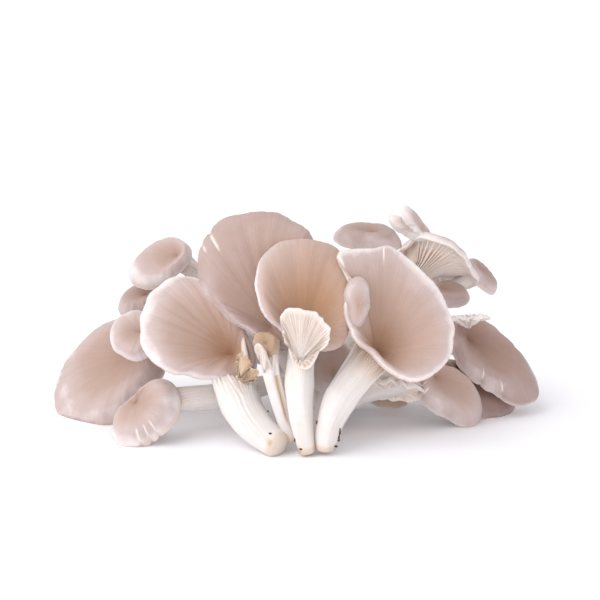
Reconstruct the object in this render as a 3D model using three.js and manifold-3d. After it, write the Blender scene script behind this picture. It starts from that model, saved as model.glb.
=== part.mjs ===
// A cluster of oyster mushrooms standing on its cut butt, about 255 mm wide.
// Millimetres, +Z up, the side with the three front funnels faces -Y.
import * as THREE from 'three';
import Module from 'manifold-3d';

const wasm = await Module();
wasm.setup();

// Driving dimensions

// Moves the middle of the cluster's base to the origin.
const SHIFT = new THREE.Vector3(-0.09, 7.75, 0);
// Gap between touching mushrooms.
const GAP = 0.3;
// How far the gill edges stand out of the underside.
const GILL_DEPTH = 1.4;
// Shares from the hub (0) to the rim (1): where the gills start and their stations.
const GILLS_FROM = 0.3;
const GILL_SHARES = [0.45, 0.64, 0.84];
const TOP_SHARES = [0.84, 0.62, 0.42, 0.24, 0.1];
// Stations along the stem below its neck.
const STEM_STEPS = 4;
// How strongly the gills crowd together on the side that the hub is on.
const CROWDING = 0.6;
// Height of the space over a cap that trims the end of its stem.
const BOWL_HEIGHT = 70;
// How far that space reaches past the cap's rim.
const BRIM = 6;
// The stem runs on past the hub by this many neck radii, narrowing by this share.
const TAIL = 2.2;
const TAPER = 0.7;
// Cosine of the steepest slope at which the cap's wall keeps its thickness.
const STEEPEST = 0.6;
// The rim's edge lies this share of the cap inside its widest line.
const RIM_INSET = 0.03;

// Butt: centre and half sizes of the lump that all the stems grow from.
const BUTT_CENTRE = [10, -8, 4];
const BUTT_HALF = [15, 33, 23];
const BUTT_SIDES = 16;
const BUTT_LEVELS = 8;
const BUTT_LUMPS = 0.07;

const CAP_COLOUR = 0xcdb8ae;
const SHADED_CAP_COLOUR = 0xbfa592;
const YOUNG_CAP_COLOUR = 0xa88f70;
const BUTT_COLOUR = 0xeee5da;

// What a mushroom has where its own entry says nothing else.
const USUAL = {
  footRadius: 5, neckRadius: 6, neck: 0.7, spread: 0.6,
  rimThickness: 1.8, hubThickness: 5.5,
  swell: 2, shoulder: 3, lift: [0], sides: 28, lobes: [],
  colour: CAP_COLOUR,
};

// The front wall of the middle funnel, folded up in front of it with its gills outside.
const FOLDED_FRONT = {
  sides: 16, centre: [4.7, -64, 66], face: [0.05, 0.95, 0.25], fan: [0, -0.25, 0.95], hub: [-17, -2, 3],
  reach: [7, 8, 10, 11, 14, 14, 22, 14, 11, 10, 14, 13], lift: [-1, 0, 0, -1, -3, -1, 0, 0, 0, 0, -2, -1],
  swell: 0, shoulder: 0, hubThickness: 7,
};

// The left edge of the right funnel, rolled over towards its middle.
const ROLLED_EDGE = {
  sides: 16, centre: [31.5, -53, 75], face: [0.15, -0.9, 0.4], fan: [0.1, 0.4, 0.9], hub: [-2, 0, 2],
  reach: [13, 9, 6, 6, 12, 7, 6, 7], lift: [-1, -1, -1, -1, -2, 0, -1, 0],
  swell: 0.5, shoulder: 1, hubThickness: 5,
};

// Two small petals that curl up from the left edge of the top right cap.
const PETALS = [
  {
    sides: 12, centre: [62.5, 7, 102], face: [0.6, -0.5, 0.6], fan: [-0.6, 0, 0.75], hub: [-9, 0, -1],
    reach: [12, 6, 4, 6, 11, 6, 4, 6], lift: [2, 0, 0, 0], swell: 1, shoulder: 1, hubThickness: 4,
  },
  {
    sides: 12, centre: [58.5, 6, 99.5], face: [0.3, -0.6, 0.7], fan: [-0.85, 0, 0.4], hub: [-8, 0, -1],
    reach: [11, 5, 3, 5, 10, 5, 4, 5], lift: [2, 0, 0, 0], swell: 1, shoulder: 1, hubThickness: 4,
  },
];

// A small gilled shelf round the stem of the lower right cap.
const SHELF = {
  sides: 12, centre: [50, -22, 22], face: [0, 0.7, 0.7], fan: [0.95, 0, -0.2], hub: [-2, 3, 1],
  reach: [17, 12, 8, 10, 16, 12, 8, 10], lift: [-1, 0, 0, 0], swell: 0, shoulder: 1, hubThickness: 4,
};

// Each cap looks along "face" and its fan points along "fan". "reach" is how far the
// rim is from the cap's middle and "lift" how high it curls, both at even angles from
// the fan's tip, anticlockwise seen from the open side. "hub" is where the stem meets
// the cap, counted from the middle along the fan, across it and along the face.
// "lobes" are further fans of flesh on the same stem, written the same way.
const MUSHROOMS = [
  {
    name: 'front_left_mushroom', sides: 40,
    foot: [-9, -64, 5], bends: [[-34, -46, 16]], centre: [-48, -34, 58],
    face: [0.2, -0.8, 0.52], fan: [-0.75, 0.1, 0.6], hub: [-22, -2, -11],
    reach: [30, 29, 30, 29, 25, 29, 36, 27, 20, 20, 25, 30],
    lift: [-6, -5, -3, 0, -2, -4, -5, -4, 0, 0, -2, -5],
    swell: 4, footRadius: 7, neckRadius: 10, neck: 0.5, rimThickness: 1.6, hubThickness: 7,
  },
  {
    name: 'front_middle_mushroom', sides: 40,
    foot: [6, -66, 3], bends: [[0, -62, 28]], centre: [4, -46, 79],
    face: [0, -0.85, 0.5], fan: [0, 0.2, 0.95], hub: [-22, 0, -13],
    reach: [28, 29, 26, 23, 22, 22, 27, 32, 28, 25, 27, 29],
    lift: [-2, -2, -1, 0, 0, -1, -2, -1, 0, 0, -1, -2],
    swell: 4, footRadius: 4.5, neckRadius: 7, neck: 0.6, hubThickness: 6,
    lobes: [FOLDED_FRONT],
  },
  {
    name: 'front_right_mushroom', sides: 40,
    foot: [15, -64, 4], bends: [[17, -62, 28]], centre: [52, -46, 67],
    face: [0.25, -0.8, 0.5], fan: [-0.05, 0.1, 0.9], hub: [-15, 10, -19],
    reach: [
      37, 36, 38, 41, 43, 28, 27, 28, 28, 28, 27, 27, 26, 24, 24, 26, 29, 32,
      34, 34, 34, 34, 33, 32, 30, 29, 28, 27, 26, 26, 26, 26, 27, 29, 31, 34,
    ],
    lift: [0, 2, 4, 3, 1, 0, -2, -2, 0, 0, 0, 0, 0, 0, 0, 0],
    swell: 6, footRadius: 5, neckRadius: 8, neck: 0.5, rimThickness: 1.6, hubThickness: 6,
    lobes: [ROLLED_EDGE],
  },
  {
    name: 'tall_back_mushroom', sides: 32,
    foot: [6, -34, 16], bends: [[4, -38, 36]], centre: [-21, -28, 83],
    face: [-0.15, -0.9, 0.35], fan: [-0.45, 0.1, 0.85], hub: [-27, 4, -5],
    reach: [34, 33, 30, 26, 26, 30, 42, 35, 34, 35, 34, 33],
    lift: [-4, -4, -3, -2, 0, 0, 2, 0, 0, -1, -2, -4],
    shoulder: 4, neckRadius: 7, neck: 0.6, hubThickness: 6,
  },
  {
    name: 'front_bud', sides: 16, colour: YOUNG_CAP_COLOUR,
    foot: [-2, -58, 6], bends: [[-9, -59, 26]], centre: [-15, -50, 54],
    face: [-0.3, -0.7, 0.6], fan: [-0.5, 0.2, 0.5], hub: [-2, 0, 1],
    reach: [7, 6, 6, 7, 8, 7, 6, 6], lift: [0, 1, 0, -1, 0, 1, 0, -1],
    swell: 1, shoulder: 1, footRadius: 3.4, neckRadius: 4.6, rimThickness: 1.4, hubThickness: 2.4,
  },
  {
    name: 'left_large_mushroom', sides: 28,
    foot: [2, 8, 18], bends: [[-16, 6, 36], [-58, 10, 40]], centre: [-100, 0, 22],
    face: [-0.3, -0.6, 0.75], fan: [-0.8, -0.2, -0.5], hub: [-20, 0, -2],
    reach: [32, 29, 29, 27, 28, 32, 34, 36, 35, 32, 31, 32],
    lift: [-6, -5, -3, -1, 0, 0, 0, 0, -1, -3, -5, -6],
    swell: 3, shoulder: 5, footRadius: 4, rimThickness: 2.2, hubThickness: 7,
  },
  {
    name: 'left_low_mushroom', sides: 24,
    foot: [2, -8, 20], bends: [[-14, -8, 22], [-38, -24, 12]], centre: [-74, -48, 18],
    face: [-0.25, -0.65, 0.72], fan: [-0.4, -0.6, -0.6], hub: [-2, -8, -1],
    reach: [18, 13, 12, 13, 14, 17, 20, 15, 12, 14, 20, 22],
    lift: [-6, -6, -4, -4, -5, -4, -3, -3, -4, -5, -6, -6],
    swell: 2, shoulder: 4, footRadius: 3.5, neckRadius: 7, neck: 0.8, rimThickness: 2.2,
  },
  {
    name: 'left_small_middle_mushroom', sides: 20,
    foot: [4, -2, 22], bends: [[-14, 2, 50], [-50, -6, 42]], centre: [-83, -20, 50],
    face: [-0.2, -0.8, 0.55], fan: [-0.9, -0.1, -0.1], hub: [-4, 0, -1],
    reach: [13, 12, 13, 13, 12, 13, 13, 13], lift: [-2],
    swell: 2, footRadius: 3.5, neckRadius: 4, neck: 0.8, rimThickness: 2.2, hubThickness: 4,
  },
  {
    name: 'left_small_upper_mushroom', sides: 20,
    foot: [4, 18, 16], bends: [[-12, 22, 36], [-50, 16, 50]], centre: [-81, 5, 62],
    face: [-0.3, -0.5, 0.8], fan: [-0.9, -0.1, -0.1], hub: [-4, 0, 0],
    reach: [13, 9, 8, 10, 13, 11, 10, 12], lift: [-2],
    swell: 2, footRadius: 3.5, neckRadius: 4, neck: 0.8, rimThickness: 2.2, hubThickness: 4,
  },
  {
    name: 'left_top_mushroom', sides: 20,
    foot: [6, 8, 24], bends: [[-12, 14, 46], [-44, 14, 62]], centre: [-71, 2, 81],
    face: [-0.25, -0.65, 0.72], fan: [-0.95, -0.1, -0.15], hub: [-11, -1, 0],
    reach: [17, 13, 10, 12, 18, 17, 14, 15], lift: [-2, -3, -2, 1, 2, 1, 0, -2],
    swell: 2, footRadius: 4, neckRadius: 4.5, neck: 0.8, hubThickness: 4.5,
  },
  {
    name: 'top_middle_mushroom', sides: 20,
    foot: [10, 14, 22], bends: [[16, 24, 48], [30, 26, 68]], centre: [38, 28, 91],
    face: [-0.1, -0.2, 0.95], fan: [-0.9, 0.2, 0.2], hub: [-4, 0, -1],
    reach: [18, 12, 10, 13, 18, 13, 11, 14], lift: [0, -1, -2, -2, -4, -2, -2, -1],
    swell: 3, footRadius: 4, neckRadius: 4.5, neck: 0.8, hubThickness: 4,
  },
  {
    name: 'top_right_mushroom', sides: 32,
    foot: [16, 4, 24], bends: [[30, 16, 44], [62, 24, 56]], centre: [81, 20, 81],
    face: [0.35, 0.55, 0.75], fan: [0.85, -0.4, -0.3], hub: [-12, 0, -10],
    reach: [15, 20, 26, 32, 36, 30, 25, 22, 26, 23, 18, 15], lift: [-2, 0, 0, 0, 0, 0],
    swell: 2, footRadius: 4.5, neckRadius: 6, neck: 0.75, hubThickness: 5, lobes: PETALS,
  },
  {
    name: 'top_right_side_mushroom', sides: 20,
    foot: [60, 20, 64], bends: [[84, 28, 56]], centre: [100, 26, 70],
    face: [0.68, -0.24, 0.7], fan: [0.67, 0, -0.74], hub: [-3, 0, 0],
    reach: [12, 9, 8, 9, 11, 9, 8, 9], lift: [-1],
    swell: 1, shoulder: 2, footRadius: 3, neckRadius: 3.5, hubThickness: 4,
  },
  {
    name: 'top_right_lower_mushroom', sides: 20,
    foot: [58, 20, 60], bends: [[72, 18, 54]], centre: [81, 10, 65],
    face: [0.1, -0.45, 0.88], fan: [0.9, 0, -0.1], hub: [-3, 0, 0],
    reach: [11, 9, 8, 8, 10, 9, 8, 9], lift: [-2],
    swell: 1, shoulder: 2, footRadius: 3, neckRadius: 3.5, hubThickness: 4,
  },
  {
    name: 'middle_behind_mushroom', sides: 20,
    foot: [14, -24, 12], bends: [[16, -20, 24]], centre: [19, -34, 38],
    face: [0.15, -0.75, 0.6], fan: [0.1, 0.3, 0.9], hub: [-4, 0, -1],
    reach: [15, 14, 13, 14, 15, 14, 13, 14], lift: [-2],
    swell: 1, shoulder: 2, footRadius: 4, neckRadius: 4.5, hubThickness: 4,
  },
  {
    name: 'right_large_mushroom', sides: 28,
    foot: [22, -2, 16], bends: [[42, 0, 30], [66, 0, 42]], centre: [106, 2, 29],
    face: [0.35, -0.6, 0.72], fan: [0.8, -0.2, -0.5], hub: [-19, 0, 0],
    reach: [29, 23, 18, 16, 18, 26, 31, 25, 22, 18, 18, 25],
    lift: [-3, -3, -2, 0, 2, 3, 3, 3, 2, 0, -2, -3],
    swell: 3, shoulder: 4, footRadius: 4.5, neckRadius: 7, rimThickness: 2, hubThickness: 6,
  },
  {
    name: 'right_lower_mushroom', sides: 20,
    foot: [20, -20, 10], bends: [[34, -18, 18], [50, -16, 26]], centre: [81, -20, 17],
    face: [0.35, -0.65, 0.7], fan: [0.75, -0.3, -0.6], hub: [-13, 0, 1],
    reach: [19, 19, 16, 16, 17, 17, 12, 11], lift: [-4, -4, -2, -1, 0, -1, -2, -4],
    swell: 2, shoulder: 4, footRadius: 6, neckRadius: 8, rimThickness: 2, hubThickness: 5, lobes: [SHELF],
  },
  {
    name: 'right_behind_mushroom', sides: 20,
    foot: [20, 10, 10], bends: [[44, 12, 20], [66, 10, 26]], centre: [100, 0, 13],
    face: [0.35, -0.45, 0.8], fan: [0.8, -0.3, -0.5], hub: [-18, 0, -2],
    reach: [17, 21, 18, 20, 21, 21, 18, 14], lift: [-4, -4, -2, -1, 0, -1, -2, -4],
    swell: 2, shoulder: 4, footRadius: 4, rimThickness: 2, hubThickness: 5,
  },
  {
    name: 'right_floor_mushroom', sides: 20, colour: YOUNG_CAP_COLOUR,
    foot: [20, 2, 8], bends: [[34, 4, 8]], centre: [50, 8, 9.5],
    face: [0.3, -0.6, 0.7], fan: [0.8, 0.1, 0], hub: [-6, 0, -1],
    reach: [13, 9, 7, 9, 13, 9, 7, 9], lift: [-1],
    swell: 2, shoulder: 2, footRadius: 4, neckRadius: 4.5, neck: 0.8, hubThickness: 4,
  },
  {
    name: 'hidden_left_mushroom', sides: 20, colour: SHADED_CAP_COLOUR,
    foot: [2, 20, 10], bends: [[-8, 34, 16], [-20, 30, 30]], centre: [-36, 38, 44],
    face: [-0.35, 0.7, 0.65], fan: [-0.6, 0.2, 0.3], hub: [-8, 0, -7],
    reach: [21, 20, 19, 18, 17, 18, 20, 21], lift: [-2, 0, -1, 0, 1, 0, -2, -1],
    swell: 2, footRadius: 4, neckRadius: 5.5,
  },
  {
    name: 'hidden_right_mushroom', sides: 20, colour: SHADED_CAP_COLOUR,
    foot: [18, 20, 10], bends: [[28, 34, 18], [38, 34, 28]], centre: [52, 42, 42],
    face: [0.4, 0.65, 0.65], fan: [0.6, 0.1, 0.2], hub: [-7, 0, -7],
    reach: [22, 20, 18, 17, 17, 18, 20, 22], lift: [-2, 0, -1, 0, 1, 0, -2, -1],
    swell: 2, footRadius: 4, neckRadius: 5.5,
  },
  {
    name: 'hidden_small_mushroom', sides: 20, colour: SHADED_CAP_COLOUR,
    foot: [10, 25, 10], bends: [[8, 38, 16]], centre: [8, 44, 36],
    face: [0, 0.75, 0.65], fan: [0, 0.3, 0.9], hub: [-4, 0, -5],
    reach: [13, 13, 12, 12, 12, 13, 13, 13], lift: [-1, 0, -1, 0],
    swell: 1, footRadius: 3.5, neckRadius: 4, hubThickness: 4,
  },
];

// Geometry helpers

// Value at an angle on the smooth closed curve through evenly spaced values.
function around(values, angle) {
  const count = values.length;
  const turns = angle / (2 * Math.PI);
  const place = (turns - Math.floor(turns)) * count;
  const i = Math.floor(place);
  const f = place - i;
  const [a, b, c, d] = [-1, 0, 1, 2].map((step) => values[(i + step + count) % count]);
  const slope = (c - a) * f;
  const bend = (2 * a - 5 * b + 4 * c - d) * f * f;
  return 0.5 * (2 * b + slope + bend + (3 * b - a - 3 * c + d) * f ** 3);
}

class Mushroom {
  // "grow" swells the whole body, to cut a neighbour free of it.
  constructor(entry, grow = 0) {
    Object.assign(this, USUAL, entry);
    this.entry = entry;
    this.grow = grow;
    this.n = new THREE.Vector3(...this.face).normalize();
    this.f = new THREE.Vector3(...this.fan);
    this.f.addScaledVector(this.n, -this.f.dot(this.n)).normalize();
    this.g = new THREE.Vector3().crossVectors(this.n, this.f);
    this.hubPoint = this.inCap(...this.hub);
    const points = [this.foot, ...this.bends].map((p) => new THREE.Vector3(...p));
    const Curve = points.length === 2 ? THREE.QuadraticBezierCurve3 : THREE.CubicBezierCurve3;
    this.axis = new Curve(...points, this.hubPoint);
    this.axisLength = this.axis.getLength();
    this.end = 1 + (TAIL * this.neckRadius) / this.axisLength;
    this.angles = this.anglesRound();
  }

  inCap(a, b, c) {
    return new THREE.Vector3(...this.centre)
      .addScaledVector(this.f, a).addScaledVector(this.g, b).addScaledVector(this.n, c);
  }

  // Angles round the cap, closer together on the side that the hub is on.
  anglesRound() {
    const [a, b] = this.hub;
    const mean = this.reach.reduce((sum, r) => sum + r, 0) / this.reach.length;
    const crowd = Math.min((CROWDING * Math.hypot(a, b)) / mean, CROWDING);
    const away = Math.atan2(b, a) + Math.PI;
    return Array.from({ length: this.sides }, (_, j) => {
      const even = (2 * Math.PI * j) / this.sides;
      return even + crowd * Math.sin(even - away);
    });
  }

  rim(angle) {
    const reach = around(this.reach, angle) + this.grow;
    return this.inCap(reach * Math.cos(angle), reach * Math.sin(angle), around(this.lift, angle));
  }

  // The cap's upper surface: share 0 is the hub and 1 the rim.
  top(share, angle) {
    let high = 2 * this.grow + this.swell * 6.75 * share * Math.max(1 - share, 0) ** 2;
    high += this.shoulder * 9.48 * share ** 3 * (1 - share);
    return this.hubPoint.clone().lerp(this.rim(angle), share).addScaledVector(this.n, high);
  }

  topNormal(share, angle) {
    const step = 0.001;
    const outward = this.top(share + step, angle).sub(this.top(share - step, angle));
    const round = this.top(share, angle + step).sub(this.top(share, angle - step));
    return outward.cross(round).normalize();
  }

  // Every other point stands out as a gill's edge; a grown body is grown over them all.
  gill(i) {
    return i % 2 || this.grow > 0 ? GILL_DEPTH : 0;
  }

  // The cap's lower surface, straight below the upper one as seen from the face.
  below(share, angle, part = 1, down = 0) {
    const inner = Math.max(1 - share, 0) ** 1.5;
    const thick = this.rimThickness + (this.hubThickness - this.rimThickness) * inner;
    const slope = Math.max(this.topNormal(share, angle).dot(this.n), STEEPEST);
    return this.top(share, angle).addScaledVector(this.n, -part * (thick / slope + 5 * this.grow) - down);
  }

  // Unit vector of the stem's ring at an angle, turned with the stem's own direction.
  ringWay(along, angle) {
    const way = this.f.clone().multiplyScalar(Math.cos(angle)).addScaledVector(this.g, Math.sin(angle));
    const lean = along.dot(way) / (1 + this.n.dot(along));
    return way.addScaledVector(this.n, -lean).addScaledVector(along, -lean);
  }

  // Point on the stem's skin. It widens from its neck to the hub and tapers off past it.
  stem(u, angle, scale = 1, back = 0, down = 0) {
    const along = this.axis.getTangent(Math.min(u, 1));
    const past = Math.max(u - 1, 0) * this.axisLength;
    const level = Math.min(u / this.neck, 1);
    const widened = THREE.MathUtils.clamp((u - this.neck) / (1 - this.neck), 0, 1) ** 1.6;
    const taper = 1 - TAPER * THREE.MathUtils.clamp((u - 1) / (this.end - 1), 0, 1) ** 1.5;
    let radius = this.footRadius + (this.neckRadius - this.footRadius) * level;
    radius += widened * (this.spread * this.neckRadius * (0.6 + 0.4 * Math.cos(angle)) + down);
    radius *= taper;
    return this.axis.getPoint(Math.min(u, 1))
      .addScaledVector(this.ringWay(along, angle), (radius + this.grow) * scale)
      .addScaledVector(along, past - back * this.footRadius);
  }

  // Rings collect points at even steps round the axis, each with its number of sides.
  ringList() {
    const rings = [];
    rings.ring = (count, point) => {
      const every = this.sides / count;
      rings.push(Array.from({ length: count }, (_, i) => point(this.angles[i * every], i)));
    };
    return rings;
  }

  capSolid() {
    const rings = this.ringList();
    const half = this.sides / 2;
    const few = this.sides / 4;
    rings.ring(few, (angle) => this.below(0.12, angle));
    rings.ring(half, (angle) => this.below(GILLS_FROM, angle));
    for (const share of GILL_SHARES) {
      rings.ring(this.sides, (angle, i) => this.below(share, angle, 1, this.gill(i)));
    }
    rings.ring(this.sides, (angle) => this.below(1 - RIM_INSET, angle));
    rings.ring(half, (angle) => this.below(1, angle, 0.5));
    rings.ring(half, (angle) => this.top(1 - RIM_INSET, angle));
    for (const share of TOP_SHARES) rings.ring(share > 0.3 ? half : few, (angle) => this.top(share, angle));
    return solidOf(this.below(0, 0), rings, this.top(0, 0));
  }

  stemSolid() {
    const rings = this.ringList();
    const half = this.sides / 2;
    const few = this.sides / 4;
    rings.ring(few, (angle) => this.stem(0, angle, 0.7, 0.45));
    for (let k = 0; k <= STEM_STEPS; k += 1) {
      rings.ring(few, (angle) => this.stem((this.neck * k) / STEM_STEPS, angle));
    }
    rings.ring(half, (angle) => this.stem((2 * this.neck + 1) / 3, angle));
    rings.ring(this.sides, (angle, i) => this.stem((this.neck + 2) / 3, angle, 1, 0, this.gill(i)));
    rings.ring(this.sides, (angle, i) => this.stem(1, angle, 1, 0, this.gill(i)));
    rings.ring(half, (angle) => this.stem((1 + this.end) / 2, angle));
    rings.ring(few, (angle) => this.stem(this.end, angle));
    const start = this.stem(0, 0, 0, 0.7);
    return solidOf(start, rings, this.stem(this.end, 0, 0));
  }

  // Everything over the middle of the cap's flesh, to trim the stem's end.
  bowlSolid() {
    const rings = this.ringList();
    const half = this.sides / 2;
    for (const share of [0.15, 0.3, 0.5, 0.75, 0.98]) {
      rings.ring(half, (angle) => this.below(share, angle, 0.5));
    }
    const brim = (angle) => this.below(1, angle, 0.5)
      .addScaledVector(this.f, BRIM * Math.cos(angle))
      .addScaledVector(this.g, BRIM * Math.sin(angle))
      .addScaledVector(this.n, -0.3 * BRIM);
    rings.ring(half, brim);
    rings.ring(half, (angle) => brim(angle).addScaledVector(this.n, BOWL_HEIGHT));
    const over = this.below(0, 0, 0.5).addScaledVector(this.n, BOWL_HEIGHT);
    return solidOf(this.below(0, 0, 0.5), rings, over);
  }

  solid() {
    let body = this.capSolid().add(this.stemSolid().subtract(this.bowlSolid()));
    for (const lobe of this.lobes) {
      const fan = new Mushroom({ ...this.entry, ...lobe }, this.grow);
      body = body.add(fan.capSolid());
    }
    return body;
  }
}

// Joins two rings where the second has as many, twice or half as many points.
function stitch(faces, lower, upper) {
  const count = Math.min(lower.length, upper.length);
  const at = (ring, i) => ring[i % ring.length];
  for (let i = 0; i < count; i += 1) {
    if (lower.length === upper.length) {
      faces.push(at(lower, i), at(lower, i + 1), at(upper, i + 1));
      faces.push(at(lower, i), at(upper, i + 1), at(upper, i));
    } else if (upper.length > lower.length) {
      const middle = at(upper, 2 * i + 1);
      faces.push(at(lower, i), middle, at(upper, 2 * i));
      faces.push(at(lower, i), at(lower, i + 1), middle);
      faces.push(at(lower, i + 1), at(upper, 2 * i + 2), middle);
    } else {
      const middle = at(lower, 2 * i + 1);
      faces.push(at(lower, 2 * i), middle, at(upper, i));
      faces.push(middle, at(upper, i + 1), at(upper, i));
      faces.push(middle, at(lower, 2 * i + 2), at(upper, i + 1));
    }
  }
}

// Closed solid from its first point, its rings and its last point.
function solidOf(first, rings, last) {
  const points = [first, ...rings.flat(), last];
  const faces = [];
  let start = 1;
  const numbered = rings.map((ring) => {
    const numbers = ring.map((_, i) => start + i);
    start += ring.length;
    return numbers;
  });
  const foot = numbered[0];
  foot.forEach((number, i) => faces.push(0, foot[(i + 1) % foot.length], number));
  for (let k = 1; k < numbered.length; k += 1) stitch(faces, numbered[k - 1], numbered[k]);
  const end = numbered[numbered.length - 1];
  end.forEach((number, i) => faces.push(number, end[(i + 1) % end.length], points.length - 1));
  return new wasm.Manifold(new wasm.Mesh({
    numProp: 3,
    vertProperties: new Float32Array(points.flatMap((p) => p.toArray())),
    triVerts: new Uint32Array(faces),
  }));
}

// The butt: a lumpy ball, later cut flat where the cluster was cut off its block.
function butt(grow = 0) {
  const point = (level, turn) => {
    const lump = 1 + BUTT_LUMPS * Math.sin(3 * turn + 4 * level) * Math.sin(level);
    const way = [Math.sin(level) * Math.cos(turn), Math.sin(level) * Math.sin(turn), -Math.cos(level)];
    return new THREE.Vector3(...way.map((w, k) => BUTT_CENTRE[k] + (BUTT_HALF[k] * lump + grow) * w));
  };
  const rings = [];
  for (let k = 1; k < BUTT_LEVELS; k += 1) {
    const level = (Math.PI * k) / BUTT_LEVELS;
    rings.push(Array.from({ length: BUTT_SIDES }, (_, i) => point(level, (2 * Math.PI * i) / BUTT_SIDES)));
  }
  return solidOf(point(0, 0), rings, point(Math.PI, 0));
}

// The largest of the pieces that a cut leaves.
function largest(solid) {
  return solid.decompose().reduce((a, b) => (b.volume() > a.volume() ? b : a));
}

function meshOf(name, solid, colour) {
  const mesh = solid.getMesh();
  const geometry = new THREE.BufferGeometry();
  geometry.setAttribute('position', new THREE.BufferAttribute(mesh.vertProperties, 3));
  geometry.setIndex(new THREE.BufferAttribute(mesh.triVerts, 1));
  geometry.computeVertexNormals();
  const material = new THREE.MeshStandardMaterial({ color: colour, roughness: 0.6, metalness: 0 });
  const result = new THREE.Mesh(geometry, material);
  result.name = name;
  return result;
}

// The cluster: each body is cut at the floor and cleared of the ones before it.
const cluster = new THREE.Group();
const placed = [];

function place(name, solid, grown, colour) {
  let body = solid.trimByPlane([0, 0, 1], 0);
  for (const other of placed) body = body.subtract(other);
  placed.push(grown);
  cluster.add(meshOf(name, largest(body), colour));
}

const FRONT_FEET = 3;
MUSHROOMS.forEach((entry, index) => {
  if (index === FRONT_FEET) place('butt', butt(), butt(GAP), BUTT_COLOUR);
  place(entry.name, new Mushroom(entry).solid(), new Mushroom(entry, GAP).solid(), entry.colour ?? CAP_COLOUR);
});
cluster.position.copy(SHIFT);

export default cluster;
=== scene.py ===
# %% [markdown]
# # A cluster of oyster mushrooms
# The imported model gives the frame: every mushroom of the cluster is one CAD node. This scene
# puts a fine surface over each of them, in the same place, with its gills, pleats and splits,
# and lights it as in the photograph: white table, soft light from the left, from the front and
# from the whole sky.

import bpy
import numpy as np
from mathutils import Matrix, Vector


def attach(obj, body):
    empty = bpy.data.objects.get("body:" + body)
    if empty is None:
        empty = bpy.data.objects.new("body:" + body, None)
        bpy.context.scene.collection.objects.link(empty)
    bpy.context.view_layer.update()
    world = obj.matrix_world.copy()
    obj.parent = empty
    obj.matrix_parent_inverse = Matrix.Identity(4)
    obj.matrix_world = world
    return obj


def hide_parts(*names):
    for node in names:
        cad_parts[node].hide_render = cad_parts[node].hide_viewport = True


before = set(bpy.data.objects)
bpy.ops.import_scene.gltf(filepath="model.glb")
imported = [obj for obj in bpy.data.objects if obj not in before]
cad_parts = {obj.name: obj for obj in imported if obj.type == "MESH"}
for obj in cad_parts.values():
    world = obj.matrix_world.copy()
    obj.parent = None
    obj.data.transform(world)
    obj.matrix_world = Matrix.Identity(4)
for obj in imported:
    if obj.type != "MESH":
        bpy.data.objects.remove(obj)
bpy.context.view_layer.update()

MM = 0.001

# %% [markdown]
# ## The camera
# The photograph looks slightly down on the cluster from far away, so the lens is long. The
# field of view comes from the scale: 600 pixels of 0.52 mm at a distance of one metre. A
# camera looks along its own -Z, so tipping it up from straight down by 75 degrees leaves it
# looking 15 degrees below the horizon.

# %% Camera
PHOTO_PIXELS = 600
MM_PER_PIXEL = 0.52
CAMERA_DISTANCE = 1000.0
CAMERA_ELEVATION = 15.0
CAMERA_TARGET = (2.51, 7.75, 62.0)
SENSOR = 36.0


def make_camera():
    """Camera at its distance from the target, straight in front and raised by the elevation."""
    data = bpy.data.cameras.new("camera")
    data.sensor_width = SENSOR
    data.lens = SENSOR * CAMERA_DISTANCE / (PHOTO_PIXELS * MM_PER_PIXEL)
    camera = bpy.data.objects.new("camera", data)
    lift = np.radians(CAMERA_ELEVATION)
    back = np.array([0.0, -np.cos(lift), np.sin(lift)])
    camera.location = Vector((np.array(CAMERA_TARGET) + CAMERA_DISTANCE * back) * MM)
    camera.rotation_euler = (np.pi / 2 - lift, 0.0, 0.0)
    bpy.context.scene.collection.objects.link(camera)
    bpy.context.scene.camera = camera
    return camera


camera = make_camera()
print("camera lens", round(camera.data.lens, 1), "mm")

# %% [markdown]
# ## Small helpers
# Colours are written as on a colour chart and turned to the linear values that the renderer
# needs. One function adds a node, with its settings, its colour stops and what feeds its
# sockets, so every material below is read as a list of steps.


# %% Colour and node helpers
def linear(hex_colour):
    """sRGB hex to linear RGBA: a short straight foot, then the power of 2.4."""
    parts = [int(hex_colour[i : i + 2], 16) / 255 for i in (1, 3, 5)]
    return [p / 12.92 if p <= 0.04045 else ((p + 0.055) / 1.055) ** 2.4 for p in parts] + [1.0]


def add_node(tree, kind, settings=None, stops=(), **inputs):
    """Adds a node. Inputs are named by socket, or i0, i1 by place, and take a value or a link.
    Stops are the places and hex colours of a colour ramp."""
    new = tree.nodes.new(kind)
    for name, value in (settings or {}).items():
        setattr(new, name, value)
    for name, value in inputs.items():
        key = int(name[1:]) if name[1:].isdigit() else name.replace("_", " ")
        if isinstance(value, bpy.types.NodeSocket):
            tree.links.new(value, new.inputs[key])
        else:
            new.inputs[key].default_value = value
    while stops and len(new.color_ramp.elements) < len(stops):
        new.color_ramp.elements.new(0.5)
    for number, (place, colour) in enumerate(stops):
        new.color_ramp.elements[number].position = place
        new.color_ramp.elements[number].color = linear(colour)
    return new


print("mid cap colour, linear:", [round(c, 3) for c in linear("#C0A69B")])
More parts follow.
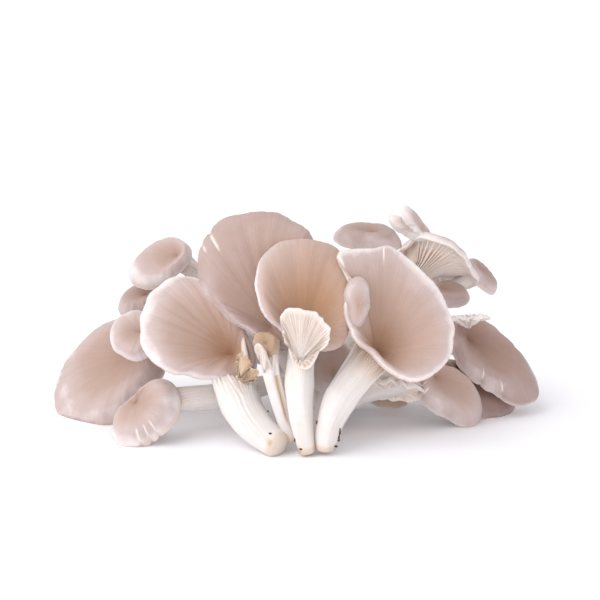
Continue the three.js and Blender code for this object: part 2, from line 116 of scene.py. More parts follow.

# %% [markdown]
# ## What the mesh tells the material
# A pattern that follows the surface needs to know where on the mushroom each point is, and the
# mesh can carry that as attributes. "place" holds the part, from the stem (0) over the gilled
# underside (1) to the cap's skin (3), then the share of the way from hub to rim, and how
# weathered this cap is. "ray" holds the direction from the hub, so noise on it makes threads
# that run to the rim. "marks" holds the depth between two gills, which darkens the ground
# between them as painted shade, then torn edges and tan stains.
# Painting an image would also do, but it would show seams, and this is sharp at any distance.


# %% Marks of the mesh
def mesh_marks(tree):
    """The ray, then the three numbers of place and the three numbers of marks."""
    ray, place, marks = (
        add_node(tree, "ShaderNodeAttribute", {"attribute_name": name}).outputs["Vector"]
        for name in ("ray", "place", "marks")
    )
    place, marks = (add_node(tree, "ShaderNodeSeparateXYZ", i0=v).outputs for v in (place, marks))
    return ray, place, marks


print("the mesh carries ray, place and marks")

# %% [markdown]
# ## Threads, patches and grain
# Under a lens, a cap is a felt of fine threads that run from the hub to the rim. They are far
# thinner than a pixel here, so they are drawn coarser: about 60 light and dark waves for one
# radius of the ray. Soft patches 16 mm across break up the colour, and a grain of 0.8 mm keeps
# highlights from looking like plastic.

# %% Patterns of the flesh
THREADS_ROUND = 60.0
THREADS_ALONG = 2.5
MOTTLE_MM = 16.0
GRAIN_MM = 0.8


def flesh_patterns(tree, ray):
    """Noise stretched along the rays, noise in patches and fine noise, each round 0.5."""
    coords = add_node(tree, "ShaderNodeTexCoord").outputs["Object"]
    scale = (THREADS_ROUND, THREADS_ROUND, THREADS_ALONG)
    stretched = add_node(tree, "ShaderNodeMapping", Vector=ray, Scale=scale).outputs[0]
    noises = (
        (stretched, 1.0, 4.0),
        (coords, 1.0 / (MOTTLE_MM * MM), 3.0),
        (coords, 1.0 / (GRAIN_MM * MM), 2.0),
    )
    return [
        add_node(tree, "ShaderNodeTexNoise", Vector=vector, Scale=size, Detail=detail).outputs[0]
        for vector, size, detail in noises
    ]


print("threads:", THREADS_ROUND, "waves a radius; patches:", MOTTLE_MM, "mm; grain:", GRAIN_MM, "mm")

# %% [markdown]
# ## The colours of the flesh
# A cap is tan in its funnel, greyish pink on its wall and nearly white at its rim, so its
# colour is a ramp over the share from hub to rim. The near-white rim is partly its own paler
# margin and partly a painted highlight on the lit edge. Gills are cream, and the darker ground
# between them is painted shade. The stem is white. Tears show white flesh, and old edges and
# cut ends turn tan.

# %% Colours of the flesh
# The last stop, near white, is partly the cap's own paler margin and partly a painted highlight on the lit
# edge of the rim.
CAP_STOPS_WITH_RIM_HIGHLIGHT = (
    (0.0, "#B08464"), (0.16, "#B28D73"), (0.4, "#B89A8A"),
    (0.7, "#C0A69B"), (0.9, "#CAB8B4"), (1.0, "#EAE0DF"),
)
YOUNG_STOPS = ((0.0, "#94745A"), (0.5, "#B2937A"), (0.9, "#C2A68E"), (1.0, "#D4BEA8"))
# From the cream crests of the gills to the darker ground between them, which is painted shade.
GILL_STOPS_WITH_PAINTED_SHADE = ((0.0, "#F3E9E2"), (0.5, "#E6D3C6"), (1.0, "#C29C80"))
STEM_STOPS = ((0.3, "#E6DEDA"), (0.5, "#ECE6E3"), (0.7, "#E9E0DA"))
WEATHERED_TINT = "#BBA7A2"
TORN_COLOUR = "#F6F0EA"
STAIN_COLOUR = "#C79F6E"
# Each of these stretches a range, i1 to i2, onto another, i3 to i4.
CAP_STREAKS = dict(i1=0.3, i2=0.7, i3=0.94, i4=1.04)
STEM_STREAKS = dict(i1=0.3, i2=0.7, i3=0.95, i4=1.02)
PATCHES = dict(i1=0.3, i2=0.7, i3=-0.07, i4=0.07)
STEM_TO_GILLS = dict(i1=0.2, i2=0.8, i3=0.0, i4=1.0)
GILLS_TO_CAP = dict(i1=1.15, i2=1.6, i3=0.0, i4=1.0)
MIX = {"data_type": "RGBA"}
MULTIPLY = {"data_type": "RGBA", "blend_type": "MULTIPLY"}


def flesh_colour(tree, place, marks, threads, mottle, cap_stops):
    """Colour of a point: cap, gills or stem by its part, with streaks and with painted shade between the
    gills, then torn and stained.
    """
    part, share, weathered = place
    valley, torn, stain = marks
    streaks, stem_streaks, patches, to_gills, to_cap = (
        add_node(tree, "ShaderNodeMapRange", i0=value, **ranges).outputs[0]
        for value, ranges in (
            (threads, CAP_STREAKS), (threads, STEM_STREAKS), (mottle, PATCHES),
            (part, STEM_TO_GILLS), (part, GILLS_TO_CAP),
        )
    )
    uneven = add_node(tree, "ShaderNodeMath", {"operation": "ADD"}, i0=share, i1=patches).outputs[0]
    cap, under, stem = (
        add_node(tree, "ShaderNodeValToRGB", stops=stops, i0=value).outputs[0]
        for value, stops in ((uneven, cap_stops), (valley, GILL_STOPS_WITH_PAINTED_SHADE), (mottle, STEM_STOPS))
    )
    cap = add_node(tree, "ShaderNodeMix", MULTIPLY, i0=1.0, i6=cap, i7=streaks).outputs[2]
    cap = add_node(
        tree, "ShaderNodeMix", MULTIPLY, i0=weathered, i6=cap, i7=linear(WEATHERED_TINT)
    ).outputs[2]
    under = add_node(tree, "ShaderNodeMix", MULTIPLY, i0=1.0, i6=under, i7=streaks).outputs[2]
    stem = add_node(tree, "ShaderNodeMix", MULTIPLY, i0=1.0, i6=stem, i7=stem_streaks).outputs[2]
    colour = stem
    for share_of_next, following in (
        (to_gills, under), (to_cap, cap), (torn, linear(TORN_COLOUR)), (stain, linear(STAIN_COLOUR)),
    ):
        colour = add_node(
            tree, "ShaderNodeMix", MIX, i0=share_of_next, i6=colour, i7=following
        ).outputs[2]
    return colour


print(len(CAP_STOPS_WITH_RIM_HIGHLIGHT), "stops from hub to rim")

# %% [markdown]
# ## Mushroom flesh
# The real thing is fresh oyster mushroom: a satin skin of fine threads, and pale wet flesh
# that light goes a few millimetres into, redder light furthest. That softens the shadows and
# lets thin rims glow. A faint bump lifts the threads. Bump alone wouldn't make gills or
# pleats: those are in the mesh.

# %% Mushroom materials
SATIN = 0.5
YOUNG_SATIN = 0.42
WATERY_FLESH_IOR = 1.4
FAINT_SHINE = 0.3
LIGHT_SHARE = 0.18
LIGHT_DEPTH = 0.003
RED_GOES_DEEPEST = (1.0, 0.5, 0.3)
THREAD_SHARE = 0.8
BUMP_STRENGTH = 0.45
BUMP_DEPTH = 0.0006


def flesh_material(name, cap_stops, roughness):
    """Cap, gills and stem in one material, told apart by the marks on the mesh."""
    material = bpy.data.materials.new(name)
    material.use_nodes = True
    tree = material.node_tree
    shader = tree.nodes["Principled BSDF"]
    ray, place, marks = mesh_marks(tree)
    threads, mottle, grain = flesh_patterns(tree, ray)
    colour = flesh_colour(tree, place, marks, threads, mottle, cap_stops)
    tree.links.new(colour, shader.inputs["Base Color"])
    fine = add_node(tree, "ShaderNodeMath", {"operation": "MULTIPLY"}, i0=grain, i1=1 - THREAD_SHARE)
    height = add_node(
        tree, "ShaderNodeMath", {"operation": "MULTIPLY_ADD"},
        i0=threads, i1=THREAD_SHARE, i2=fine.outputs[0],
    )
    bump = add_node(
        tree, "ShaderNodeBump", Height=height.outputs[0], Strength=BUMP_STRENGTH, Distance=BUMP_DEPTH
    )
    tree.links.new(bump.outputs[0], shader.inputs["Normal"])
    shader.inputs["Roughness"].default_value = roughness
    shader.inputs["IOR"].default_value = WATERY_FLESH_IOR
    shader.inputs["Specular IOR Level"].default_value = FAINT_SHINE
    shader.inputs["Subsurface Weight"].default_value = LIGHT_SHARE
    shader.inputs["Subsurface Radius"].default_value = RED_GOES_DEEPEST
    shader.inputs["Subsurface Scale"].default_value = LIGHT_DEPTH
    return material


pale_flesh = flesh_material("oyster_mushroom_flesh", CAP_STOPS_WITH_RIM_HIGHLIGHT, SATIN)
young_flesh = flesh_material("young_oyster_mushroom_flesh", YOUNG_STOPS, YOUNG_SATIN)
print("made", pale_flesh.name, "and", young_flesh.name)

# %% [markdown]
# ## Curves on whole arrays
# Each surface below is a formula that takes whole arrays of angles and shares and gives whole
# arrays of points, so no loop runs over single points. These are the small formulas that the
# rest share.


# %% Curves on whole arrays
def unit(v):
    """Vectors brought to length 1."""
    v = np.asarray(v, float)
    return v / np.maximum(np.linalg.norm(v, axis=-1, keepdims=True), 1e-12)


def along_axis(a, b):
    """Scalar product over the last axis, kept as a column."""
    return np.sum(a * b, axis=-1, keepdims=True)


def ease(x, low=0.0, high=1.0):
    """0 below low, 1 above high, and 3 t squared minus 2 t cubed between them."""
    t = np.clip((x - low) / (high - low), 0, 1)
    return t * t * (3 - 2 * t)


def around(values, angle):
    """Smooth closed curve through evenly spaced values: a cubic between each two, whose slope
    at a value is half the step between its neighbours."""
    v = np.asarray(values, float)
    place = np.asarray(angle) / (2 * np.pi) * len(v) % len(v)
    i = np.floor(place).astype(int) % len(v)
    f = place - np.floor(place)
    a, b, c, d = (v[(i + step) % len(v)] for step in (-1, 0, 1, 2))
    square, cube = 2 * a - 5 * b + 4 * c - d, 3 * b - a - 3 * c + d
    return 0.5 * (2 * b + (c - a) * f + square * f**2 + cube * f**3)


print("a closed curve through 1, 3, 1, 3 at 45 degrees:", float(around([1, 3, 1, 3], np.pi / 4)))


# %% Unevenness of grown things
def degrees_off(angle, at):
    """Signed angle in degrees from a place on the rim, between -180 and 180."""
    return (np.degrees(angle) - at + 180) % 360 - 180


def wobble(angle, seed, low, high):
    """Sum of cosines of the angle, from low to high waves a turn, with seeded heights and
    phases: a smooth closed unevenness of about 1."""
    chance = np.random.default_rng(seed)
    waves = np.arange(low, high + 1)
    heights = chance.normal(size=len(waves)) / np.sqrt(len(waves))
    phases = chance.uniform(0, 2 * np.pi, len(waves))
    return np.sum(heights * np.cos(np.asarray(angle)[..., None] * waves + phases), axis=-1)


print("unevenness at four angles:", wobble(np.arange(4), 1, 5, 15).round(2))

# %% [markdown]
# ## The values of a mushroom
# A cap is a fan or a funnel. It has three directions of its own: n out of its open side, f
# towards the fan's tip and g across it. Its rim is given by how far it reaches from the cap's
# middle and how high it curls, at even angles. Each mushroom below says only what differs from
# the usual one.

# %% Values of a mushroom
SHIFT = np.array([-0.09, 7.75, 0.0])
FULL_REACH = 30
GILL_COLUMNS = 8
USUAL = dict(
    # the stem, in millimetres, and how far up its axis the flare starts
    foot=None, bends=[], foot_radius=5, neck_radius=6, neck=0.7, groove=None, under_from=0.4,
    # the cap's flesh and profile
    rim_thickness=1.8, hub_thickness=5.5, swell=2, shoulder=3, lift=[0],
    # unevenness of the rim, soft pleats, the curl of the rim and splits
    frill=0.3, ragged=0.08, pleats=0.1, curl=1.8, tears=[], seed=1,
    # gills: height, number if not every eighth column, and sharpness of their edges
    gill_depth=1.0, gills=None, gill_edge=1.5, columns=280,
    # colour: tint of age, how pale the hub is, how slowly the tan fades outwards, partly painted
    # shade deep in a funnel, the side in degrees that painted shade and tan darken, the palest
    # tone, which also limits the painted highlight at the rim, and tan stains all over and on the rim
    weathered=0.0, pale_hub=0.0, tanned=1.0, tan_side=None, palest=1.0, stained=0.0, rim_stain=0.0,
)


class Mushroom:
    """One mushroom's values, its three directions, its hub and the points of its stem's axis."""

    def __init__(self, **entry):
        self.__dict__.update(USUAL | entry)
        self.n = unit(self.face)
        fan = np.array(self.fan, float)
        self.f = unit(fan - (fan @ self.n) * self.n)
        self.g = np.cross(self.n, self.f)
        self.centre = np.array(self.centre, float) + SHIFT
        self.hub_point = self.centre + np.array(self.hub, float) @ np.array([self.f, self.g, self.n])
        self.gills = self.gills or self.columns // GILL_COLUMNS
        self.size = np.mean(self.reach) / FULL_REACH
        if self.foot:
            points = [np.array(p, float) + SHIFT for p in [self.foot, *self.bends]] + [self.hub_point]
            if len(points) == 3:
                a, b, c = points
                points = [a, a + (b - a) * 2 / 3, c + (b - c) * 2 / 3, c]
            self.points = points


plain = Mushroom(
    foot=[0, 0, 0], bends=[[0, 0, 12]], centre=[0, 0, 30], face=[0, 0, 1], fan=[1, 0, 0],
    hub=[0, 0, -5], reach=[20],
)
quarter = np.array([[0.0], [np.pi / 2]])
print("a plain mushroom has its hub at", plain.hub_point, "and", plain.gills, "gills")

# %% [markdown]
# ## The cap
# Every ray from the hub, where the stem meets the cap, runs out to the rim over a curved
# profile. A lathe would make a cap as round as a plate; here each ray has its own length, so
# the cap can be a fan, a funnel or a tongue. Both formulas keep the surface where the packed
# solid is, and smooth at any size.

# %% Upper surface
# One over the peak of each curve, so that swell and shoulder are heights in millimetres.
SWELL_PEAK = 6.75
SHOULDER_PEAK = 9.48
BOWL = 0.2


def rim(shape, angle):
    """The rim: centre plus reach along the angle in the cap's plane, plus lift along the face."""
    seed = shape.seed
    uneven = shape.frill * wobble(angle, seed, 5, 15) + shape.ragged * wobble(angle, seed + 60, 20, 60)
    reach = around(shape.reach, angle) + shape.size * uneven
    lift = around(shape.lift, angle) + shape.size * shape.frill * wobble(angle, seed + 50, 4, 13)
    return shape.centre + reach * np.cos(angle) * shape.f + reach * np.sin(angle) * shape.g + lift * shape.n


def top(shape, share, angle):
    """Upper surface: from hub to rim by the share s, raised by a swell near the hub, s times
    (1-s) squared, a shoulder near the rim, s cubed times (1-s), and soft pleats, and rolled
    down over the last fifth. Near the hub the height follows a hyperbola, so that the bowl
    has a round bottom. A tear draws the rim back in a narrow notch."""
    inner = np.clip(1 - share, 0, None)
    high = shape.swell * SWELL_PEAK * share * inner**2 + shape.shoulder * SHOULDER_PEAK * share**3 * inner
    spread = rim(shape, angle) - shape.hub_point
    bowl = (np.hypot(share, BOWL) - BOWL) / (np.hypot(1, BOWL) - BOWL) - share
    high = high + bowl * along_axis(spread, shape.n)
    pleats = shape.pleats * wobble(angle, shape.seed + 9, 9, 26)
    pleats = pleats * ease(share, 0.1, 0.8) * ease(inner, 0, 0.2)
    high = high + shape.size * (pleats - shape.curl * ease(share, 0.78, 1.05))
    cut = 0
    for tear in shape.tears:
        off = np.abs(degrees_off(angle, tear["at"])) / tear["wide"]
        cut = cut + tear["deep"] * np.exp(-off) * ease(share, 1 - 2 * tear["deep"], 1)
    return shape.hub_point + spread * (share - cut) + high * shape.n


print("the plain cap half way out, at two angles:", top(plain, 0.5, quarter).round(1).tolist())

# %% Lower surface
STEEPEST = 0.6
NEAR = 0.01


def normal(shape, share, angle):
    """Upward normal of the upper surface, from the steps to points close by."""
    outward = top(shape, share + NEAR, angle) - top(shape, share - NEAR, angle)
    across = top(shape, share, angle + NEAR) - top(shape, share, angle - NEAR)
    return unit(np.cross(outward, across))


def below(shape, share, angle, down=0.0):
    """Lower surface: under the upper one by the flesh's thickness over the slope's cosine."""
    inner = np.clip(1 - share, 0, None) ** 1.5
    thick = shape.rim_thickness + (shape.hub_thickness - shape.rim_thickness) * inner
    slope = np.maximum(along_axis(normal(shape, share, angle), shape.n), STEEPEST)
    return top(shape, share, angle) - (thick / slope + down) * shape.n


print("and its underside:", below(plain, 0.5, quarter).round(1).tolist())

# %% [markdown]
# ## The stem
# The stem is a tube on a curve from the foot to the hub. Its cross section isn't quite round,
# and fine ribs run up it. The ring of points has to arrive at the cap turned the same way as
# the cap's rays, or the skin between them would twist.


# %% Stem
def axis(shape, u):
    """Cubic curve from the foot to the hub, and its direction."""
    a, b, c, d = shape.points
    point = (1 - u) ** 3 * a + 3 * u * (1 - u) ** 2 * b + 3 * u**2 * (1 - u) * c + u**3 * d
    return point, unit((1 - u) ** 2 * (b - a) + 2 * u * (1 - u) * (c - b) + u**2 * (d - c))


def stem(shape, u, angle, scale=1.0, back=0.0):
    """Tube round the axis, widening from foot to neck, with uneven sides, fine ribs and, on
    a split stem, a groove. Its ring turns with the axis by the shortest way from the face."""
    point, along = axis(shape, u)
    way = np.cos(angle) * shape.f + np.sin(angle) * shape.g
    way = way - along_axis(along, way) / (1 + along_axis(along, shape.n)) * (shape.n + along)
    level = u / shape.neck
    radius = shape.foot_radius + (shape.neck_radius - shape.foot_radius) * level
    sides = 0.05 * wobble(angle + 0.8 * level, shape.seed + 5, 2, 5)
    bulges = 0.02 * np.sin(9 * level + shape.seed)
    ribs = 0.009 * wobble(angle + 0.3 * level, shape.seed + 6, 9, 28) * ease(level, 0, 0.2)
    uneven = sides + bulges + ribs
    if shape.groove:
        near = np.exp(-((degrees_off(angle, shape.groove) / 35) ** 2))
        uneven = uneven - 0.5 * near * ease(level, 0.1, 0.4)
    return point + radius * (1 + uneven) * scale * way - back * shape.foot_radius * along


print("the plain stem at its neck:", stem(plain, plain.neck, quarter).round(1).tolist())

# %% [markdown]
# ## The flare
# On an oyster mushroom the stem doesn't end under the cap: it widens smoothly into it, and the
# gills run down onto it. This stretch of skin leaves the stem in the stem's direction and
# meets the underside in the ray's direction.

# %% Flare
WIDER = 1.2
FURTHEST_JOIN = 0.85


def join_share(shape, angle):
    """Share of the ray at which the stem's skin meets the underside."""
    wide = np.linalg.norm(rim(shape, angle) - shape.hub_point, axis=-1, keepdims=True)
    return np.clip(WIDER * shape.neck_radius / wide, shape.under_from, FURTHEST_JOIN)


def flare(shape, v, angle):
    """Smooth skin between stem and underside: a cubic with the stem's direction at one end and
    the ray's at the other, flatter where the two turn against each other."""
    share = join_share(shape, angle)
    start = stem(shape, shape.neck, angle)
    end = below(shape, share, angle)
    along = axis(shape, shape.neck)[1]
    outward = unit(below(shape, share + NEAR, angle) - below(shape, share - NEAR, angle))
    room = np.clip(0.3 + along_axis(along, outward), 0, 1)
    reach = np.linalg.norm(end - start, axis=-1, keepdims=True)
    leave = along * reach * (0.3 + 0.7 * room)
    arrive = outward * reach * room
    ends = (2 * v**3 - 3 * v**2 + 1) * start + (3 * v**2 - 2 * v**3) * end
    return ends + (v**3 - 2 * v**2 + v) * leave + (v**3 - v**2) * arrive


print("the plain stem meets its cap at the shares", join_share(plain, quarter).ravel().round(2))

# %% [markdown]
# ## Gills
# The gills of an oyster mushroom run from the rim down onto the stem, and between each two
# long ones a short one starts further out. They are ridges of the underside: a wave round the
# cap with narrow crests, and a second wave between them that comes in towards the rim.


# %% Gills
def gill_height(shape, angle, out):
    """Height of the gills' edges, 0 to 1: powers of a raised cosine round the cap that wanders,
    with finer crests between them in the outer half."""
    sway = np.sin(7 * out + 3 * wobble(angle, shape.seed + 21, 2, 6))
    wander = wobble(angle, shape.seed + 20, 3, 12) + 0.5 * sway
    phase = shape.gills * angle + wander
    long_gills = (0.5 + 0.5 * np.cos(phase)) ** shape.gill_edge
    short_gills = (0.5 - 0.5 * np.cos(phase)) ** 2 * ease(out, 0.3, 0.6)
    return np.maximum(long_gills, 0.8 * short_gills)


print("gill heights at two angles:", gill_height(plain, quarter, 0.0).ravel().round(2))

# %% [markdown]
# ## From formulas to a mesh
# The skin is a grid: one row of points for each station from the foot, up the stem, over the
# flare and the gills, round the rim and back over the cap to the hub, and one column for each
# angle. The last point of a row joins the first, and a fan of triangles closes both ends.
# Where the hub is off the cap's middle, the columns stand closer on the hub's side, so that
# the rays leave the hub at nearly even angles.

# %% Collecting rows
CROWDING = 0.6


class Skin:
    """Collects rows of points with their places and marks."""

    def __init__(self, shape):
        self.shape = shape
        self.rows, self.places, self.marks = [], [], []
        even = np.arange(shape.columns) * 2 * np.pi / shape.columns
        off = np.hypot(shape.hub[0], shape.hub[1])
        crowd = min(CROWDING * off / np.mean(shape.reach), CROWDING)
        away = np.arctan2(shape.hub[1], shape.hub[0]) + np.pi
        self.angle = (even + crowd * np.sin(even - away))[:, None]

    def add(self, points, part, share, valley=0.0, torn=0.0, stain=0.0):
        """One row. The share for the colour is a power of the share from hub to rim, lower on
        the side darkened with painted shade and tan, and starts at pale_hub."""
        shape, count = self.shape, self.shape.columns
        # Raising the share to a power spreads the hub's tan outwards: partly the cap's own tan, partly
        # painted shade deep in a funnel.
        toned = np.clip(share, 0, shape.palest) ** shape.tanned
        # One side of the cap is pushed towards the hub's tan: painted shade, and on the front middle funnel
        # also its own tan.
        if shape.tan_side is not None:
            toned = toned * (0.8 - 0.2 * np.cos(self.angle - np.radians(shape.tan_side)))
        toned = shape.pale_hub + (1 - shape.pale_hub) * toned
        place = (part, toned, shape.weathered)
        marks = (valley, torn, np.maximum(stain, shape.stained))
        self.rows.append(np.broadcast_to(points, (count, 3)))
        self.places.append(np.stack([np.broadcast_to(np.ravel(x), count) for x in place], axis=-1))
        self.marks.append(np.stack([np.broadcast_to(np.ravel(x), count) for x in marks], axis=-1))


print("columns round the plain mushroom:", len(Skin(plain).angle))

# %% Rows of the stem and the flare
FOOT_ROWS = 4
STEM_ROWS = 15
FLARE_ROWS = 12
FLARE_OUT = 0.25
FOOT_STAIN = 0.35
PATCH_STAIN = 0.6
GROOVE_STAIN = 0.8


def add_stem_rows(skin):
    """Rounded foot, then the stem with a tan foot and, in a groove, a tan line."""
    shape, angle = skin.shape, skin.angle
    for turn in np.linspace(0.12, 0.5, FOOT_ROWS + 1)[:-1] * np.pi:
        skin.add(stem(shape, 0.0, angle, np.sin(turn), 0.6 * np.cos(turn)), 0, 0, stain=FOOT_STAIN)
    for u in np.linspace(0, 1, STEM_ROWS):
        patch = ease(wobble(angle, shape.seed + 30, 1, 5), 0.2, 1.2)
        stain = FOOT_STAIN * ease(-u, -0.08, 0) + PATCH_STAIN * patch * ease(-u, -0.16, 0)
        if shape.groove:
            near = np.exp(-((degrees_off(angle, shape.groove) / 20) ** 2))
            stain = stain + GROOVE_STAIN * near * ease(u, 0.2, 0.5)
        skin.add(stem(shape, u * shape.neck, angle), 0, 0.8 * u, stain=stain)


def add_flare_rows(skin):
    """The flare, with gills that grow out of it across both the axis and the cap's face."""
    shape, angle = skin.shape, skin.angle
    for v in np.linspace(0, 1, FLARE_ROWS + 1)[1:]:
        height = gill_height(shape, angle, FLARE_OUT * v)
        grown = ease(v, 0.1, 0.8)
        points = flare(shape, v, angle)
        outward = unit(points - axis(shape, shape.neck + (1 - shape.neck) * v)[0])
        down = unit((1 - v) * outward - v * shape.n)
        points = points + shape.gill_depth * grown * (height - 0.5) * down
        # The ground between the gills is darkened here: painted shade.
        skin.add(points, 0.9 * v, 0.8 + 0.2 * v, valley=(1 - height) * grown)


print("rows from foot to flare:", FOOT_ROWS + STEM_ROWS + FLARE_ROWS)

# %% Rows of the cap
UNDER_ROWS = 17
RIM_ROWS = 5
TOP_ROWS = 22
RIM_SHARE = 0.985
HUB_SHARE = 0.012


def add_under_rows(skin, join, rising):
    """The gilled underside. Gills fade at the rim and, where rising, towards a lobe's hub."""
    shape, angle = skin.shape, skin.angle
    for out in np.linspace(0, 1, UNDER_ROWS + 1)[1:]:
        share = join + (RIM_SHARE - join) * out
        height = gill_height(shape, angle, FLARE_OUT + (1 - FLARE_OUT) * out)
        fade = ease(1 - out, 0, 0.12) * (ease(share, 0.1, 0.6) if rising else 1)
        points = below(shape, share, angle, shape.gill_depth * fade * (height - 0.5))
        # The ground between the gills is darkened here: painted shade.
        skin.add(points, 1, share, valley=(1 - height) * fade)


def torn_white(shape, angle, share):
    """White flesh that shows along a tear, a line that thins out towards the hub."""
    shown = 0
    for tear in shape.tears:
        off = degrees_off(angle, tear["at"]) / tear["line"]
        shown = shown + np.exp(-(off**2)) * ease(share, 1 - tear["long"], 1 - 0.7 * tear["long"])
    return np.clip(shown, 0, 1)


def add_rim_and_top_rows(skin):
    """Half a turn round the rim's edge, then the upper surface back to the hub."""
    shape, angle = skin.shape, skin.angle
    edge_top = top(shape, RIM_SHARE, angle)
    middle = (edge_top + below(shape, RIM_SHARE, angle)) / 2
    half = edge_top - middle
    outward = unit(top(shape, 1.0, angle) - top(shape, 0.97, angle))
    thick = np.linalg.norm(half, axis=-1, keepdims=True)
    for turn in np.linspace(0, np.pi, RIM_ROWS + 1)[1:]:
        point = middle - np.cos(turn) * half + np.sin(turn) * thick * outward
        # The rows round the rim take the palest stop: partly a paler margin, partly a painted highlight on
        # the lit edge.
        skin.add(point, 1 + 0.7 * turn / np.pi, 1.0, stain=shape.rim_stain * np.sin(turn))
    for x in np.linspace(0, 1, TOP_ROWS)[1:]:
        share = RIM_SHARE * (1 - x) ** 1.25 + HUB_SHARE
        skin.add(top(shape, share, angle), 3, share, torn=torn_white(shape, angle, share))


print("rows of a cap:", UNDER_ROWS + RIM_ROWS + TOP_ROWS - 1)


# %% Closing the mesh
def closed_mesh(name, rows):
    """Quads between rows and round each row, and a fan of triangles at both ends."""
    tall, wide = rows.shape[:2]
    points = np.concatenate([rows.reshape(-1, 3), rows[:1].mean(axis=1), rows[-1:].mean(axis=1)])
    index = np.arange(tall * wide).reshape(tall, wide)
    after = np.roll(index, -1, axis=1)
    quads = np.stack([index[:-1], after[:-1], after[1:], index[1:]], axis=-1).reshape(-1, 4)
    first = np.stack([np.full(wide, tall * wide), after[0], index[0]], axis=-1)
    last = np.stack([index[-1], after[-1], np.full(wide, tall * wide + 1)], axis=-1)
    mesh = bpy.data.meshes.new(name)
    mesh.from_pydata((points * MM).tolist(), [], quads.tolist() + first.tolist() + last.tolist())
    mesh.shade_smooth()
    return mesh


def skin_mesh(skin, name):
    """The rows as a mesh that stops at the floor, with its ray, place and marks. The ray's third
    number has the seed added, so that no two mushrooms have the same threads."""
    rows = np.array(skin.rows)
    rows[..., 2] = np.maximum(rows[..., 2], 0.0)
    shares = np.array(skin.places)[..., 1]
    flat = skin.angle[:, 0] + 0 * shares
    ray = np.stack([np.cos(flat), np.sin(flat), shares + skin.shape.seed], axis=-1)
    mesh = closed_mesh(name, rows)
    for key, values in (("ray", ray), ("place", skin.places), ("marks", skin.marks)):
        values = np.array(values)
        ends = np.concatenate([values[0].mean(axis=0)[None], values[-1].mean(axis=0)[None]])
        layer = mesh.attributes.new(key, "FLOAT_VECTOR", "POINT")
        layer.data.foreach_set("vector", np.concatenate([values.reshape(-1, 3), ends]).ravel())
    return mesh


row_count = FOOT_ROWS + STEM_ROWS + FLARE_ROWS + UNDER_ROWS + RIM_ROWS + TOP_ROWS - 1
print("points of a usual mushroom:", USUAL["columns"] * row_count + 2)

# %% [markdown]
# ## Placing a piece
# A piece rides on the model's one body, "root", and stands for the CAD node that it covers. A
# torn, folded or curled part is a lobe: a further small cap without a stem, sunk into its
# mushroom at the hub, that stands for the same node.

# %% Placing helpers
LOBE = dict(columns=128, swell=0, shoulder=1, gill_depth=0.5)
LOBE_JOIN = 0.04
faces_made = []


def add_piece(name, mesh, material, node):
    """Gives the mesh its material and its place in the frame."""
    mesh.materials.append(material)
    piece = bpy.data.objects.new(name, mesh)
    bpy.context.scene.collection.objects.link(piece)
    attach(piece, "root")
    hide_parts(node)
    faces_made.append(len(mesh.polygons))
    print(name, len(mesh.polygons), "faces")


def grow(node, material=pale_flesh, slot="cap_flesh", **entry):
    """Makes one whole mushroom, from its foot to its cap."""
    shape = Mushroom(node=node, **entry)
    skin = Skin(shape)
    add_stem_rows(skin)
    add_flare_rows(skin)
    add_under_rows(skin, join_share(shape, skin.angle), False)
    add_rim_and_top_rows(skin)
    add_piece(node + "_skin", skin_mesh(skin, node + "_skin"), material, node)
    return shape


def grow_lobe(node, name, **entry):
    """Makes a lobe on a mushroom, gilled from its hub to its rim."""
    skin = Skin(Mushroom(**(LOBE | entry)))
    add_under_rows(skin, LOBE_JOIN, True)
    add_rim_and_top_rows(skin)
    add_piece(name, skin_mesh(skin, name), pale_flesh, node)


print("a lobe has", LOBE["columns"], "columns and starts at the share", LOBE_JOIN)

# %% [markdown]
# ## The front left funnel
# The largest funnel leans to the left and shows the inside of its cap. Its rim rolls outwards
# on the left, with soft pleats below. Two torn veils of gills hang at the right of its neck:
# thin lobes with a very uneven rim and tan edges.

# %% Front left mushroom
front_left = grow(
    "front_left_mushroom", columns=400,
    foot=[-9, -64, 5], bends=[[-34, -46, 16]], centre=[-48, -34, 58],
    face=[0.2, -0.8, 0.52], fan=[-0.75, 0.1, 0.6], hub=[-22, -2, -11],
    reach=[30, 29, 30, 29, 25, 29, 36, 27, 20, 20, 25, 30],
    lift=[-6, -5, -3, 0, -2, -4, -5, -4, 0, 0, -2, -5],
    swell=4, foot_radius=7, neck_radius=10, neck=0.5, rim_thickness=1.6, hub_thickness=7,
    pleats=0.25, curl=2.6, seed=3, rim_stain=0.2, pale_hub=0.12, tanned=1.15,
)
VEILS = [
    dict(centre=[-25, -50, 42], face=[0.5, 0.8, 0.2], fan=[0.3, -0.1, 0.9], hub=[-7, 0, 0],
         reach=[7, 5, 4, 5, 9, 5, 4, 6]),
    dict(centre=[-22, -49, 37], face=[0.6, 0.7, 0.3], fan=[0.5, -0.1, 0.4], hub=[-7, 0, 0],
         reach=[8, 4, 4, 5, 8, 4, 3, 5]),
]
for number, veil in enumerate(VEILS):
    grow_lobe(
        "front_left_mushroom", f"torn_veil_{number + 1}", seed=41 + number,
        lift=[-1, 1, 0, 1], hub_thickness=2, rim_thickness=0.6, frill=3.0, ragged=2.0,
        stained=0.6, **veil,
    )

# %% [markdown]
# ## The front middle funnel
# It stands upright on a slim stem. The front of its wall is torn loose and folded up before
# the funnel, with its wrinkled gills outside. The inside is the darkest of the cluster, most
# of all at the lower right: partly its own tan and partly painted shade deep in the funnel,
# which the tan power and the darker side below give.

